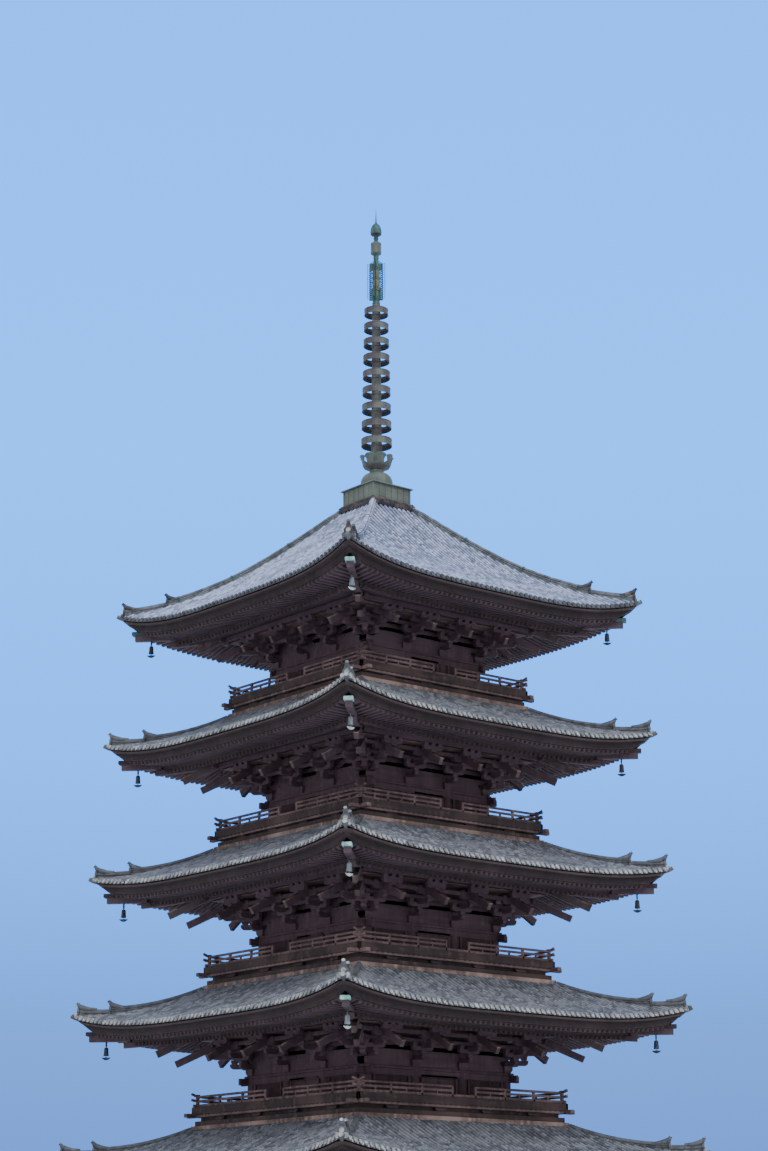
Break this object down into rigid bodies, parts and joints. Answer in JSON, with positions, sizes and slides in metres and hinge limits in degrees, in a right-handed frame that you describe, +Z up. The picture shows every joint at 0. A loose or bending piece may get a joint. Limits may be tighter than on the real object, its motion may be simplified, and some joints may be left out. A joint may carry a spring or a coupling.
{
  "type": "five-storey timber pagoda, 1:2 scale model",
  "caption": "Square timber pagoda on a stone podium, with tiled roofs, railed balconies, a tall ringed bronze spire and swinging corner wind bells, at half size.",
  "frame": {"origin": "on the ground under the spire, the middle of the podium's underside", "axes": "+Z up, the front faces -Y, the right side faces +X"},
  "size_m": [10.7164, 10.7164, 27.45],
  "materials": {
    "podium_stone": "weathered",
    "dark_timber": "weathered, near black",
    "worn_timber": "weathered",
    "roof_tile": "smoked grey, weathered",
    "spire_bronze": "dull green patina",
    "bell_bronze": "dull green patina"
  },
  "bodies": {
    "tower": {"podium": "podium_stone", "door_front": "dark_timber", "door_right": "dark_timber", "door_back": "dark_timber", "door_left": "dark_timber", "storey_1_walls": "dark_timber", "storey_1_brackets": "dark_timber", "storey_1_eaves": "dark_timber", "roof_1_tiles": "roof_tile", "storey_2_walls": "dark_timber", "storey_2_brackets": "dark_timber", "storey_2_eaves": "dark_timber", "roof_2_tiles": "roof_tile", "balcony_2_deck": "worn_timber", "balcony_2_railing": "worn_timber", "storey_3_walls": "dark_timber", "storey_3_brackets": "dark_timber", "storey_3_eaves": "dark_timber", "roof_3_tiles": "roof_tile", "balcony_3_deck": "worn_timber", "balcony_3_railing": "worn_timber", "storey_4_walls": "dark_timber", "storey_4_brackets": "dark_timber", "storey_4_eaves": "dark_timber", "roof_4_tiles": "roof_tile", "balcony_4_deck": "worn_timber", "balcony_4_railing": "worn_timber", "storey_5_walls": "dark_timber", "storey_5_brackets": "dark_timber", "storey_5_eaves": "dark_timber", "roof_5_tiles": "roof_tile", "balcony_5_deck": "worn_timber", "balcony_5_railing": "worn_timber", "spire_box": "spire_bronze", "spire_bowl": "spire_bronze", "spire_flower": "spire_bronze", "spire_rings": "spire_bronze", "spire_flame": "spire_bronze", "spire_jewel": "spire_bronze"},
    "bell_1_back_right_body": {"bell_1_back_right": "bell_bronze"},
    "bell_1_back_left_body": {"bell_1_back_left": "bell_bronze"},
    "bell_1_front_left_body": {"bell_1_front_left": "bell_bronze"},
    "bell_1_front_right_body": {"bell_1_front_right": "bell_bronze"},
    "bell_2_back_right_body": {"bell_2_back_right": "bell_bronze"},
    "bell_2_back_left_body": {"bell_2_back_left": "bell_bronze"},
    "bell_2_front_left_body": {"bell_2_front_left": "bell_bronze"},
    "bell_2_front_right_body": {"bell_2_front_right": "bell_bronze"},
    "bell_3_back_right_body": {"bell_3_back_right": "bell_bronze"},
    "bell_3_back_left_body": {"bell_3_back_left": "bell_bronze"},
    "bell_3_front_left_body": {"bell_3_front_left": "bell_bronze"},
    "bell_3_front_right_body": {"bell_3_front_right": "bell_bronze"},
    "bell_4_back_right_body": {"bell_4_back_right": "bell_bronze"},
    "bell_4_back_left_body": {"bell_4_back_left": "bell_bronze"},
    "bell_4_front_left_body": {"bell_4_front_left": "bell_bronze"},
    "bell_4_front_right_body": {"bell_4_front_right": "bell_bronze"},
    "bell_5_back_right_body": {"bell_5_back_right": "bell_bronze"},
    "bell_5_back_left_body": {"bell_5_back_left": "bell_bronze"},
    "bell_5_front_left_body": {"bell_5_front_left": "bell_bronze"},
    "bell_5_front_right_body": {"bell_5_front_right": "bell_bronze"}
  },
  "joints": [
    {"name": "bell_1_back_right_swing", "type": "hinge", "parent": "tower", "child": "bell_1_back_right_body", "pos_m": [4.755, 4.755, 3.16], "axis": [-0.7071, 0.7071, 0], "range_deg": [-30, 30]},
    {"name": "bell_1_back_left_swing", "type": "hinge", "parent": "tower", "child": "bell_1_back_left_body", "pos_m": [-4.755, 4.755, 3.16], "axis": [-0.7071, -0.7071, 0], "range_deg": [-30, 30]},
    {"name": "bell_1_front_left_swing", "type": "hinge", "parent": "tower", "child": "bell_1_front_left_body", "pos_m": [-4.755, -4.755, 3.16], "axis": [0.7071, -0.7071, 0], "range_deg": [-30, 30]},
    {"name": "bell_1_front_right_swing", "type": "hinge", "parent": "tower", "child": "bell_1_front_right_body", "pos_m": [4.755, -4.755, 3.16], "axis": [0.7071, 0.7071, 0], "range_deg": [-30, 30]},
    {"name": "bell_2_back_right_swing", "type": "hinge", "parent": "tower", "child": "bell_2_back_right_body", "pos_m": [4.54, 4.54, 6.4015], "axis": [-0.7071, 0.7071, 0], "range_deg": [-30, 30]},
    {"name": "bell_2_back_left_swing", "type": "hinge", "parent": "tower", "child": "bell_2_back_left_body", "pos_m": [-4.54, 4.54, 6.4015], "axis": [-0.7071, -0.7071, 0], "range_deg": [-30, 30]},
    {"name": "bell_2_front_left_swing", "type": "hinge", "parent": "tower", "child": "bell_2_front_left_body", "pos_m": [-4.54, -4.54, 6.4015], "axis": [0.7071, -0.7071, 0], "range_deg": [-30, 30]},
    {"name": "bell_2_front_right_swing", "type": "hinge", "parent": "tower", "child": "bell_2_front_right_body", "pos_m": [4.54, -4.54, 6.4015], "axis": [0.7071, 0.7071, 0], "range_deg": [-30, 30]},
    {"name": "bell_3_back_right_swing", "type": "hinge", "parent": "tower", "child": "bell_3_back_right_body", "pos_m": [4.305, 4.305, 9.643], "axis": [-0.7071, 0.7071, 0], "range_deg": [-30, 30]},
    {"name": "bell_3_back_left_swing", "type": "hinge", "parent": "tower", "child": "bell_3_back_left_body", "pos_m": [-4.305, 4.305, 9.643], "axis": [-0.7071, -0.7071, 0], "range_deg": [-30, 30]},
    {"name": "bell_3_front_left_swing", "type": "hinge", "parent": "tower", "child": "bell_3_front_left_body", "pos_m": [-4.305, -4.305, 9.643], "axis": [0.7071, -0.7071, 0], "range_deg": [-30, 30]},
    {"name": "bell_3_front_right_swing", "type": "hinge", "parent": "tower", "child": "bell_3_front_right_body", "pos_m": [4.305, -4.305, 9.643], "axis": [0.7071, 0.7071, 0], "range_deg": [-30, 30]},
    {"name": "bell_4_back_right_swing", "type": "hinge", "parent": "tower", "child": "bell_4_back_right_body", "pos_m": [4.115, 4.115, 12.8845], "axis": [-0.7071, 0.7071, 0], "range_deg": [-30, 30]},
    {"name": "bell_4_back_left_swing", "type": "hinge", "parent": "tower", "child": "bell_4_back_left_body", "pos_m": [-4.115, 4.115, 12.8845], "axis": [-0.7071, -0.7071, 0], "range_deg": [-30, 30]},
    {"name": "bell_4_front_left_swing", "type": "hinge", "parent": "tower", "child": "bell_4_front_left_body", "pos_m": [-4.115, -4.115, 12.8845], "axis": [0.7071, -0.7071, 0], "range_deg": [-30, 30]},
    {"name": "bell_4_front_right_swing", "type": "hinge", "parent": "tower", "child": "bell_4_front_right_body", "pos_m": [4.115, -4.115, 12.8845], "axis": [0.7071, 0.7071, 0], "range_deg": [-30, 30]},
    {"name": "bell_5_back_right_swing", "type": "hinge", "parent": "tower", "child": "bell_5_back_right_body", "pos_m": [3.935, 3.935, 16.101], "axis": [-0.7071, 0.7071, 0], "range_deg": [-30, 30]},
    {"name": "bell_5_back_left_swing", "type": "hinge", "parent": "tower", "child": "bell_5_back_left_body", "pos_m": [-3.935, 3.935, 16.101], "axis": [-0.7071, -0.7071, 0], "range_deg": [-30, 30]},
    {"name": "bell_5_front_left_swing", "type": "hinge", "parent": "tower", "child": "bell_5_front_left_body", "pos_m": [-3.935, -3.935, 16.101], "axis": [0.7071, -0.7071, 0], "range_deg": [-30, 30]},
    {"name": "bell_5_front_right_swing", "type": "hinge", "parent": "tower", "child": "bell_5_front_right_body", "pos_m": [3.935, -3.935, 16.101], "axis": [0.7071, 0.7071, 0], "range_deg": [-30, 30]}
  ]
}
